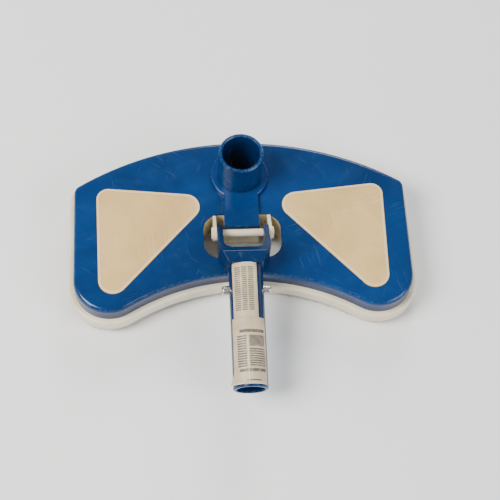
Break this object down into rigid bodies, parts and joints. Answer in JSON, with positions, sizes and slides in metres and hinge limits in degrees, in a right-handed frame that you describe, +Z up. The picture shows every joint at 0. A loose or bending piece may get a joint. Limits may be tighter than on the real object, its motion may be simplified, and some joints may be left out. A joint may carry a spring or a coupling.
{
  "type": "pool vacuum head",
  "caption": "Half-moon weighted pool vacuum head with brush skirt, swivel hose port and tilting pole handle.",
  "frame": {"origin": "centre of the footprint of the whole object with its handle down, on the floor the bristles touch", "axes": "+X to the right along the head's width, +Y from the handle towards the hose port, +Z up"},
  "size_m": [0.295, 0.2393, 0.076],
  "materials": {
    "shell_blue": "glossy moulded blue ABS",
    "connector_blue": "glossy moulded blue ABS",
    "handle_blue": "glossy moulded blue nylon",
    "base_ivory": "satin ivory polypropylene",
    "cover_cream": "flat cream plastic",
    "axle_ivory": "satin ivory acetal",
    "ballast_iron": "painted cast iron",
    "bristle_white": "nylon bristle",
    "screw_steel": "stainless pan-head screw",
    "spring_steel": "stainless spring strip",
    "button_steel": "bright pressed steel",
    "retainer_grey": "dark grey acetal",
    "seal_rubber": "black nitrile ring"
  },
  "bodies": {
    "head": {"axle_cap_left": "axle_ivory", "axle_cap_right": "axle_ivory", "ballast_left": "ballast_iron", "ballast_right": "ballast_iron", "base_plate": "base_ivory", "brush_end_left": "bristle_white", "brush_end_right": "bristle_white", "brush_front_left": "bristle_white", "brush_front_right": "bristle_white", "brush_rail": "base_ivory", "brush_rear_left": "bristle_white", "brush_rear_right": "bristle_white", "housing_screws": "screw_steel", "pivot_axle": "axle_ivory", "pivot_cradle": "base_ivory", "port_retainer": "retainer_grey", "port_seal": "seal_rubber", "top_shell": "shell_blue", "weight_cover_left": "cover_cream", "weight_cover_right": "cover_cream"},
    "hose_swivel": {"hose_connector": "connector_blue"},
    "handle": {"handle": "handle_blue", "clip_bend": "spring_steel"},
    "button_left": {"clip_leg_left": "spring_steel", "snap_button_left": "button_steel"},
    "button_right": {"clip_leg_right": "spring_steel", "snap_button_right": "button_steel"}
  },
  "joints": [
    {"name": "hose_port_swivel", "type": "hinge", "parent": "head", "child": "hose_swivel", "pos_m": [0, 0.0802, 0.05], "axis": [0, 0, 1], "continuous": true},
    {"name": "handle_tilt", "type": "hinge", "parent": "head", "child": "handle", "pos_m": [0, 0.0232, 0.039], "axis": [-1, 0, 0], "range_deg": [0, 100]},
    {"name": "button_left_press", "type": "hinge", "parent": "handle", "child": "button_left", "pos_m": [-0.0033, -0.10583, 0.03908], "axis": [0, 0.1392, -0.9903], "range_deg": [0, 4.6], "stiffness_Nm_per_rad": 7, "springref_deg": -1.15},
    {"name": "button_right_press", "type": "hinge", "parent": "handle", "child": "button_right", "pos_m": [0.0033, -0.10583, 0.03908], "axis": [0, -0.1392, 0.9903], "range_deg": [0, 4.6], "stiffness_Nm_per_rad": 7, "springref_deg": -1.15}
  ]
}
